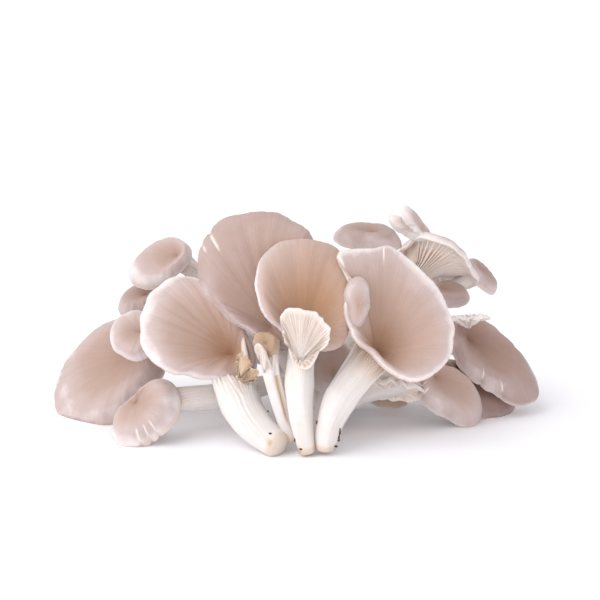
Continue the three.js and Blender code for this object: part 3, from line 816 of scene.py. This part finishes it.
# %% Front middle mushroom
front_middle = grow(
    "front_middle_mushroom", columns=400,
    foot=[6, -66, 3], bends=[[0, -62, 28]], centre=[4, -46, 79],
    face=[0, -0.85, 0.5], fan=[0, 0.2, 0.95], hub=[-22, 0, -13],
    reach=[28, 29, 26, 23, 22, 22, 27, 32, 28, 25, 27, 29],
    lift=[-2, -2, -1, 0, 0, -1, -2, -1, 0, 0, -1, -2],
    swell=4, foot_radius=4.5, neck_radius=7, neck=0.6, hub_thickness=6, seed=4, curl=2.4,
    tanned=1.9, tan_side=285, rim_stain=0.15,
)
grow_lobe(
    "front_middle_mushroom", "folded_front", columns=240,
    centre=[4.7, -64, 66], face=[0.05, 0.95, 0.25], fan=[0, -0.25, 0.95], hub=[-17, -2, 3],
    reach=[10, 10, 10, 12, 13, 14, 22, 14, 11, 10, 13, 13],
    lift=[-1, 0, 0, -1, -3, -1, 0, 0, 0, 0, -2, -1],
    hub_thickness=7, shoulder=0, frill=0.8, pleats=0.5, seed=31, ragged=0.3,
)

# %% [markdown]
# ## The front right funnel
# The deepest funnel. Its left edge is rolled over towards the middle, two short cracks run in
# from the rim at the top, and its fine gills show where the neck flares.

# %% Front right mushroom
front_right = grow(
    "front_right_mushroom", columns=400,
    foot=[15, -64, 4], bends=[[17, -62, 28]], centre=[52, -46, 67],
    face=[0.25, -0.8, 0.5], fan=[-0.05, 0.1, 0.9], hub=[-15, 10, -19],
    reach=[
        37, 36, 38, 41, 43, 28, 27, 28, 28, 28, 27, 27, 26, 24, 24, 26, 29, 32,
        34, 34, 34, 34, 33, 32, 30, 29, 28, 27, 26, 26, 26, 26, 27, 29, 31, 34,
    ],
    lift=[0, 2, 4, 3, 1, 0, -2, -2, 0, 0, 0, 0, 0, 0, 0, 0],
    swell=6, neck_radius=8, neck=0.5, rim_thickness=1.6, hub_thickness=6, seed=6,
    curl=0.8, rim_stain=0.45, pale_hub=0.1, tanned=1.15,
    tears=[
        dict(at=2, wide=4, deep=0.02, line=0.5, long=0.2),
        dict(at=39, wide=2, deep=0.04, line=1.2, long=0.16),
    ],
)
grow_lobe(
    "front_right_mushroom", "rolled_edge", columns=240,
    centre=[31.5, -53, 75], face=[0.15, -0.9, 0.4], fan=[0.1, 0.4, 0.9], hub=[-2, 0, 2],
    reach=[13, 9, 6, 6, 12, 7, 6, 7], lift=[-1, -1, -1, -1, -2, 0, -1, 0],
    swell=0.5, hub_thickness=5, curl=3, frill=0.2, pleats=0, seed=32,
    pale_hub=0.55, palest=0.75, rim_stain=0.4,
)

# %% [markdown]
# ## The tall mushroom at the back
# A broad flat cap that rises behind the front ones, split twice at its upper left. Its top
# right is darker with painted shade.

# %% Tall back mushroom
grow(
    "tall_back_mushroom", columns=360, weathered=0.3,
    foot=[6, -34, 16], bends=[[4, -38, 36]], centre=[-21, -28, 83],
    face=[-0.15, -0.9, 0.35], fan=[-0.45, 0.1, 0.85], hub=[-27, 4, -5],
    reach=[34, 33, 30, 26, 26, 30, 42, 35, 34, 35, 34, 33],
    lift=[-4, -4, -3, -2, 0, 0, 2, 0, 0, -1, -2, -4],
    shoulder=4, neck_radius=7, neck=0.6, hub_thickness=6, seed=8, curl=3, pale_hub=0.45, tan_side=310,
    tears=[
        dict(at=20, wide=1.5, deep=0.03, line=1.0, long=0.25),
        dict(at=33, wide=1.5, deep=0.02, line=1.0, long=0.12),
    ],
)

# %% [markdown]
# ## The bud
# A young mushroom with an olive, curled cap. Its slim stem is split along its length, and a
# pointed flap of pale flesh rises before the cap.

# %% Front bud
grow(
    "front_bud", young_flesh, "young_cap_flesh", columns=160, gill_depth=0.4,
    foot=[-2, -58, 6], bends=[[-9, -59, 26]], centre=[-15, -50, 54],
    face=[-0.3, -0.7, 0.6], fan=[-0.5, 0.2, 0.5], hub=[-2, 0, 1],
    reach=[7, 6, 6, 7, 8, 7, 6, 6], lift=[0, 1, 0, -1, 0, 1, 0, -1],
    swell=1, shoulder=1, foot_radius=3.4, neck_radius=4.6, rim_thickness=1.4, hub_thickness=2.4,
    frill=0.6, curl=4, groove=200, seed=9, pale_hub=0.4,
)
grow_lobe(
    "front_bud", "pointed_flap", columns=160, seed=44, centre=[-15, -57, 48],
    face=[0.6, 0.7, 0.3], fan=[-0.1, -0.1, 0.9], hub=[-8, 0, 0],
    reach=[9, 4, 3, 4, 10, 4, 3, 4], lift=[-1, 0, 1, 0], hub_thickness=2, rim_thickness=0.8, frill=1.0,
)

# %% [markdown]
# ## The left side
# Five caps lie one over another like roof tiles. They are older and greyer on their outer
# parts, and nearly smooth. Three cracks run in from the rim of the lowest.

# %% Left mushrooms
LEFT_SMALL = dict(
    columns=160, lift=[-2], foot_radius=3.5, neck_radius=4, neck=0.8, rim_thickness=2.2,
    hub_thickness=4,
)
grow(
    "left_large_mushroom", columns=360,
    foot=[2, 8, 18], bends=[[-16, 6, 36], [-58, 10, 40]], centre=[-100, 0, 22],
    face=[-0.3, -0.6, 0.75], fan=[-0.8, -0.2, -0.5], hub=[-20, 0, -2],
    reach=[32, 29, 29, 27, 28, 32, 34, 36, 35, 32, 31, 32],
    lift=[-6, -5, -3, -1, 0, 0, 0, 0, -1, -3, -5, -6],
    swell=3, shoulder=5, foot_radius=4, rim_thickness=2.2, hub_thickness=7, seed=10,
    pale_hub=0.3, palest=0.85, weathered=0.15,
    tears=[
        dict(at=327, wide=1.5, deep=0.03, line=0.8, long=0.12),
        dict(at=318, wide=1.5, deep=0.02, line=0.7, long=0.1),
    ],
)
grow(
    "left_low_mushroom",
    foot=[2, -8, 20], bends=[[-14, -8, 22], [-38, -24, 12]], centre=[-74, -48, 18],
    face=[-0.25, -0.65, 0.72], fan=[-0.4, -0.6, -0.6], hub=[-2, -8, -1],
    reach=[18, 13, 12, 13, 14, 17, 20, 15, 12, 14, 20, 22],
    lift=[-6, -6, -4, -4, -5, -4, -3, -3, -4, -5, -6, -6],
    shoulder=4, foot_radius=3.5, neck_radius=7, neck=0.6, rim_thickness=2.2, seed=12,
    pale_hub=0.5, rim_stain=0.2,
    tears=[dict(at=at, wide=2.5, deep=0.06, line=1.5, long=0.3) for at in (8, 25, 45)],
)
grow(
    "left_small_middle_mushroom", seed=13, pale_hub=0.55, **LEFT_SMALL,
    foot=[4, -2, 22], bends=[[-14, 2, 50], [-50, -6, 42]], centre=[-83, -20, 50],
    face=[-0.2, -0.8, 0.55], fan=[-0.9, -0.1, -0.1], hub=[-4, 0, -1],
    reach=[13, 12, 13, 13, 12, 13, 13, 13],
)
grow(
    "left_small_upper_mushroom", seed=14, weathered=0.4, pale_hub=0.6, **LEFT_SMALL,
    foot=[4, 18, 16], bends=[[-12, 22, 36], [-50, 16, 50]], centre=[-81, 5, 62],
    face=[-0.3, -0.5, 0.8], fan=[-0.9, -0.1, -0.1], hub=[-4, 0, 0],
    reach=[13, 9, 8, 10, 13, 11, 10, 12],
)
grow(
    "left_top_mushroom", columns=240, weathered=0.1, palest=0.92,
    foot=[6, 8, 24], bends=[[-12, 14, 46], [-44, 14, 62]], centre=[-71, 2, 81],
    face=[-0.25, -0.65, 0.72], fan=[-0.95, -0.1, -0.15], hub=[-11, -1, 0],
    reach=[17, 13, 10, 12, 18, 17, 14, 15], lift=[-2, -3, -2, 1, 2, 1, 0, -2],
    foot_radius=4, neck_radius=4.5, neck=0.8, hub_thickness=4.5, seed=15, pale_hub=0.5,
)

# %% [markdown]
# ## The top right
# One cap turns its gills to the front, cream between rounded rims, so it has fewer and deeper
# ones. Two petals curl up at its left, two small caps grow under it, and a narrow one stands
# further left.

# %% Top mushrooms
SMALL = dict(columns=160, swell=1, shoulder=2, hub_thickness=4, pale_hub=0.6)
grow(
    "top_middle_mushroom", columns=240, weathered=0.4,
    foot=[10, 14, 22], bends=[[16, 24, 48], [30, 26, 68]], centre=[38, 28, 91],
    face=[-0.1, -0.2, 0.95], fan=[-0.9, 0.2, 0.2], hub=[-4, 0, -1],
    reach=[18, 12, 10, 13, 18, 13, 11, 14], lift=[0, -1, -2, -2, -4, -2, -2, -1],
    swell=3, foot_radius=4, neck_radius=4.5, neck=0.8, hub_thickness=4, seed=16,
    pale_hub=0.6,
)
grow(
    "top_right_mushroom", columns=400, gill_depth=1.8, gill_edge=0.6, weathered=0.2,
    foot=[16, 4, 24], bends=[[30, 16, 44], [62, 24, 56]], centre=[81, 20, 81],
    face=[0.35, 0.55, 0.75], fan=[0.85, -0.4, -0.3], hub=[-12, 0, -10],
    reach=[15, 20, 26, 32, 36, 30, 25, 22, 26, 23, 18, 15], lift=[-2, 0, 0, 0, 0, 0],
    foot_radius=4.5, neck=0.75, hub_thickness=5, rim_thickness=3,
    seed=17, gills=40,
)
PETALS = [
    dict(centre=[62.5, 7, 102], face=[0.6, -0.5, 0.6], fan=[-0.6, 0, 0.75], hub=[-9, 0, -1],
         reach=[10, 6, 4, 6, 11, 6, 4, 6]),
    dict(centre=[58.5, 6, 99.5], face=[0.3, -0.6, 0.7], fan=[-0.85, 0, 0.4], hub=[-8, 0, -1],
         reach=[11, 5, 3, 5, 10, 5, 4, 5]),
]
for number, petal in enumerate(PETALS):
    grow_lobe(
        "top_right_mushroom", f"curled_petal_{number + 1}", seed=33 + number,
        lift=[2, 0, 0, 0], swell=1, hub_thickness=4, pale_hub=0.7, frill=0.8, **petal,
    )
grow(
    "top_right_side_mushroom", seed=25, weathered=0.4, **SMALL,
    foot=[60, 20, 64], bends=[[84, 28, 56]], centre=[100, 26, 70],
    face=[0.68, -0.24, 0.7], fan=[0.67, 0, -0.74], hub=[-3, 0, 0],
    reach=[12, 9, 8, 9, 11, 9, 8, 9], lift=[-1],
    foot_radius=3, neck_radius=3.5,
)
grow(
    "top_right_lower_mushroom", seed=26, weathered=0.5, **SMALL,
    foot=[58, 20, 60], bends=[[72, 18, 54]], centre=[81, 10, 65],
    face=[0.1, -0.45, 0.88], fan=[0.9, 0, -0.1], hub=[-3, 0, 0],
    reach=[11, 9, 8, 8, 10, 9, 8, 9], lift=[-2],
    foot_radius=3, neck_radius=3.5,
)

# %% [markdown]
# ## The right side and the floor
# Three greyish caps spread to the right over the floor, one thick gilled stem shows under the
# front right funnel, and a small olive cap lies beneath it. The largest has a crinkled fringe
# at its upper rim, and a gilled shelf grows from the stem of the one below it.

# %% Right mushrooms
grow(
    "middle_behind_mushroom", seed=27, weathered=0.2, **SMALL,
    foot=[14, -24, 12], bends=[[16, -20, 24]], centre=[19, -34, 38],
    face=[0.15, -0.75, 0.6], fan=[0.1, 0.3, 0.9], hub=[-4, 0, -1],
    reach=[15, 14, 13, 14, 15, 14, 13, 14], lift=[-2],
    foot_radius=4, neck_radius=4.5,
)
grow(
    "right_large_mushroom", columns=360, weathered=0.5, palest=0.9,
    foot=[22, -2, 16], bends=[[42, 0, 30], [66, 0, 42]], centre=[106, 2, 29],
    face=[0.35, -0.6, 0.72], fan=[0.8, -0.2, -0.5], hub=[-19, 0, 0],
    reach=[29, 23, 18, 16, 18, 26, 31, 25, 22, 18, 18, 25],
    lift=[-3, -3, -2, 0, 2, 3, 3, 3, 2, 0, -2, -3],
    swell=3, shoulder=4, foot_radius=4.5, neck_radius=7, rim_thickness=2, hub_thickness=6, seed=18,
    pale_hub=0.3, tears=[dict(at=at, wide=2, deep=0.05, line=1, long=0.2) for at in (270, 311)],
)
grow_lobe(
    "right_large_mushroom", "crinkled_fringe", columns=200,
    centre=[90, -3, 54], face=[-0.1, 0.4, 0.9], fan=[1, 0, -0.1], hub=[0, 1, -2],
    reach=[11, 7, 5, 5, 11, 6, 4, 6], lift=[-1, 1, 0, -1],
    hub_thickness=3, rim_thickness=0.8, frill=3.0, ragged=1.5, pleats=2.0, seed=45, pale_hub=0.9,
)
grow(
    "right_lower_mushroom", palest=0.85,
    foot=[20, -20, 10], bends=[[34, -18, 18], [50, -16, 26]], centre=[81, -20, 17],
    face=[0.35, -0.65, 0.7], fan=[0.75, -0.3, -0.6], hub=[-13, 0, 1],
    reach=[19, 19, 16, 16, 17, 17, 12, 11], lift=[-4, -4, -2, -1, 0, -1, -2, -4],
    shoulder=4, foot_radius=6, neck_radius=8, rim_thickness=2, hub_thickness=5, seed=19,
    pale_hub=0.3, tears=[dict(at=at, wide=3, deep=0.08, line=1.5, long=0.25) for at in (216, 231)],
)
grow_lobe(
    "right_lower_mushroom", "gilled_shelf", columns=240,
    centre=[50, -22, 22], face=[0, 0.7, 0.7], fan=[0.95, 0, -0.2], hub=[-2, 3, 1],
    reach=[17, 12, 8, 10, 16, 12, 8, 10], lift=[-1, 0, 0, 0],
    hub_thickness=4, frill=1.5, ragged=0.5, gill_depth=0.8, seed=46,
)
grow(
    "right_behind_mushroom", columns=240, weathered=0.9,
    foot=[20, 10, 10], bends=[[44, 12, 20], [66, 10, 26]], centre=[100, 0, 13],
    face=[0.35, -0.45, 0.8], fan=[0.8, -0.3, -0.5], hub=[-18, 0, -2],
    reach=[17, 21, 18, 20, 21, 21, 18, 14], lift=[-4, -4, -2, -1, 0, -1, -2, -4],
    shoulder=4, foot_radius=4, rim_thickness=2, hub_thickness=5, seed=20, pale_hub=0.2,
)
grow(
    "right_floor_mushroom", young_flesh, "young_cap_flesh", columns=160,
    foot=[20, 2, 8], bends=[[34, 4, 8]], centre=[50, 8, 9.5],
    face=[0.3, -0.6, 0.7], fan=[0.8, 0.1, 0], hub=[-6, 0, -1],
    reach=[13, 9, 7, 9, 13, 9, 7, 9], lift=[-1],
    shoulder=2, foot_radius=4, neck_radius=4.5, neck=0.8, hub_thickness=4, seed=21, frill=0.2,
)

# %% [markdown]
# ## The hidden side
# The photograph doesn't show the back. Three caps fill it, smaller and plainer than the rest.

# %% Hidden mushrooms
HIDDEN = dict(slot="shaded_cap_flesh", weathered=0.3, columns=200, foot_radius=4, neck_radius=5.5)
grow(
    "hidden_left_mushroom", seed=22, **HIDDEN,
    foot=[2, 20, 10], bends=[[-8, 34, 16], [-20, 30, 30]], centre=[-36, 38, 44],
    face=[-0.35, 0.7, 0.65], fan=[-0.6, 0.2, 0.3], hub=[-8, 0, -7],
    reach=[21, 20, 19, 18, 17, 18, 20, 21], lift=[-2, 0, -1, 0, 1, 0, -2, -1],
)
grow(
    "hidden_right_mushroom", seed=23, **HIDDEN,
    foot=[18, 20, 10], bends=[[28, 34, 18], [38, 34, 28]], centre=[52, 42, 42],
    face=[0.4, 0.65, 0.65], fan=[0.6, 0.1, 0.2], hub=[-7, 0, -7],
    reach=[22, 20, 18, 17, 17, 18, 20, 22], lift=[-2, 0, -1, 0, 1, 0, -2, -1],
)
grow(
    "hidden_small_mushroom", slot="shaded_cap_flesh", columns=160, weathered=0.3,
    foot=[10, 25, 10], bends=[[8, 38, 16]], centre=[8, 44, 36],
    face=[0, 0.75, 0.65], fan=[0, 0.3, 0.9], hub=[-4, 0, -5],
    reach=[13, 13, 12, 12, 12, 13, 13, 13], lift=[-1, 0, -1, 0],
    swell=1, foot_radius=3.5, neck_radius=4, hub_thickness=4, seed=24,
)

# %% [markdown]
# ## Crumbs
# Dark crumbs of the growing block stick to the stems near their feet. Each is a small ball
# with a rough reach, placed by how far up its stem it is and which way it faces. The real
# block is wet sawdust, so the colour is a deep brown, and it is rough enough not to shine.


# %% Materials of one colour
def plain_material(name, colour, roughness, shine):
    """One colour all over, with the roughness and the strength of its highlights."""
    material = bpy.data.materials.new(name)
    material.use_nodes = True
    shader = material.node_tree.nodes["Principled BSDF"]
    shader.inputs["Base Color"].default_value = linear(colour)
    shader.inputs["Roughness"].default_value = roughness
    shader.inputs["Specular IOR Level"].default_value = shine
    return material


crumb_material = plain_material("growing_block_crumb", "#5A3B24", 0.9, 0.5)
print("made", crumb_material.name)

# %% Balls with a rough reach
CRUMB_COLUMNS = 24


def ball(columns):
    """Angle up from the bottom, angle round, and the direction that both give, on a ball with
    half as many rows as columns."""
    level = (np.arange(1, columns // 2) * 2 * np.pi / columns)[:, None]
    turn = np.arange(columns)[None, :] * 2 * np.pi / columns
    flat = np.sin(level)
    way = np.stack([flat * np.cos(turn), flat * np.sin(turn), -np.cos(level) + 0 * turn], axis=-1)
    return level, turn, way


def outer_point(shape, u, way):
    """The point of a stem's ring at u that lies furthest along a direction."""
    angle = np.linspace(0, 2 * np.pi, 72, endpoint=False)[:, None]
    ring = stem(shape, u, angle)
    return ring[np.argmax(ring @ unit(way))]


def crumb_rows(centre, size, seed):
    """Ball whose reach is raised by two products of sines with seeded phases."""
    chance = np.random.default_rng(seed)
    level, turn, way = ball(CRUMB_COLUMNS)
    phases = chance.uniform(0, 2 * np.pi, 4)
    rough = np.sin(3 * turn + phases[0]) * np.sin(4 * level + phases[1])
    rough = 0.25 * rough + 0.15 * np.sin(5 * turn + phases[2]) * np.sin(6 * level + phases[3])
    return centre + np.array(size) * (1 + rough * np.sin(level))[..., None] * way


print("a crumb has", CRUMB_COLUMNS, "columns")

# %% Crumbs
# The mushroom, how far up its stem, the way the crumb faces, and its half sizes.
CRUMBS = [
    (front_right, 0.2, [0.9, -0.5, 0], [0.5, 0.6, 2.2]),
    (front_right, 0.13, [0.9, -0.4, 0], [0.5, 0.7, 1.4]),
    (front_right, 0.09, [1, -0.2, 0], [0.9, 0.8, 0.7]),
    (front_right, 0.02, [0.9, -0.5, 0], [1.2, 0.8, 0.6]),
    (front_right, 0.22, [-1, -0.2, 0], [0.5, 0.5, 1.2]),
    (front_middle, 0.12, [-0.9, -0.4, 0], [0.5, 0.5, 1.0]),
    (front_middle, 0.03, [-0.4, -0.9, 0], [0.9, 0.5, 0.5]),
    (front_left, 0.05, [0.5, -0.8, 0.3], [0.8, 0.5, 0.6]),
    (front_left, 0.3, [0.9, 0, 0.4], [0.7, 0.5, 0.5]),
]
for number, (shape, u, way, size) in enumerate(CRUMBS):
    name = f"crumb_{number + 1}"
    crumb = closed_mesh(name, crumb_rows(outer_point(shape, u, way), size, number))
    add_piece(name, crumb, crumb_material, shape.node)

# %% [markdown]
# ## The butt
# All the stems grow from one lump of white flesh that was cut flat where the cluster came off
# its growing block. It is a ball with lumps, cut by the floor, and the frame has it as a node
# of its own.

# %% Butt
BUTT_CENTRE = np.array([10, -8, 4])
BUTT_HALF = np.array([15, 33, 23])
BUTT_COLUMNS = 128


def butt_rows():
    """Ball in three half sizes, its reach raised by sines of both angles; low points stop at
    the floor."""
    level, turn, way = ball(BUTT_COLUMNS)
    waves = 0.07 * np.sin(3 * turn + 4 * level) + 0.02 * np.sin(11 * turn - 6 * level)
    lump = 1 + waves * np.sin(level)
    points = BUTT_CENTRE + SHIFT + BUTT_HALF * lump[..., None] * way
    points[..., 2] = np.maximum(points[..., 2], 0.0)
    return points


butt_mesh = closed_mesh("butt_skin", butt_rows())
add_piece("butt_skin", butt_mesh, pale_flesh, "butt")
print(sum(faces_made), "faces in all")

# %% [markdown]
# ## Table and light
# The photograph was taken on a lit white table: white everywhere, with only a soft shadow close
# to the cluster. A wide sun from the upper left stands for a big softbox, because it lights the
# whole table evenly, which a lamp near the cluster wouldn't. A weaker one, low in front, opens
# the shaded stems and gills, and a white sky fills the rest.

# %% Table
TABLE_HALF = 12.0


def make_table():
    """Wide square of smooth white laminate, with highlights too weak to show a mirror image."""
    mesh = bpy.data.meshes.new("table")
    signs = ((-1, -1), (1, -1), (1, 1), (-1, 1))
    corners = [(x * TABLE_HALF, y * TABLE_HALF, 0.0) for x, y in signs]
    mesh.from_pydata(corners, [], [(0, 1, 2, 3)])
    mesh.materials.append(plain_material("white_laminate", "#FDFCFF", 0.6, 0.2))
    table = bpy.data.objects.new("table", mesh)
    bpy.context.scene.collection.objects.link(table)


make_table()
print("table", 2 * TABLE_HALF, "metres wide")

# %% Light
SOFTBOX = dict(height=44, side=-66, strength=1.5, softness=60)
FRONT_FILL = dict(height=6, side=-5, strength=0.8, softness=50)
SKY_COLOUR = (0.98, 0.98, 1.0, 1)
SKY_STRENGTH = 0.81


def make_sun(name, height, side, strength, softness):
    """Sun at a height above the table, turned to one side of the front, with a disc as wide as
    its softness, all in degrees."""
    data = bpy.data.lights.new(name, "SUN")
    data.energy = strength
    data.angle = np.radians(softness)
    light = bpy.data.objects.new(name, data)
    light.rotation_euler = (np.radians(90 - height), 0, np.radians(side))
    bpy.context.scene.collection.objects.link(light)


make_sun("softbox", **SOFTBOX)
make_sun("front_fill", **FRONT_FILL)
world = bpy.data.worlds.new("white_sky")
world.use_nodes = True
background = world.node_tree.nodes["Background"]
background.inputs["Color"].default_value = SKY_COLOUR
background.inputs["Strength"].default_value = SKY_STRENGTH
bpy.context.scene.world = world
bpy.context.scene.view_settings.view_transform = "Standard"
print("a sun", SOFTBOX["height"], "degrees high, with a disc of", SOFTBOX["softness"], "degrees")

# %% [markdown]
# ## Finish
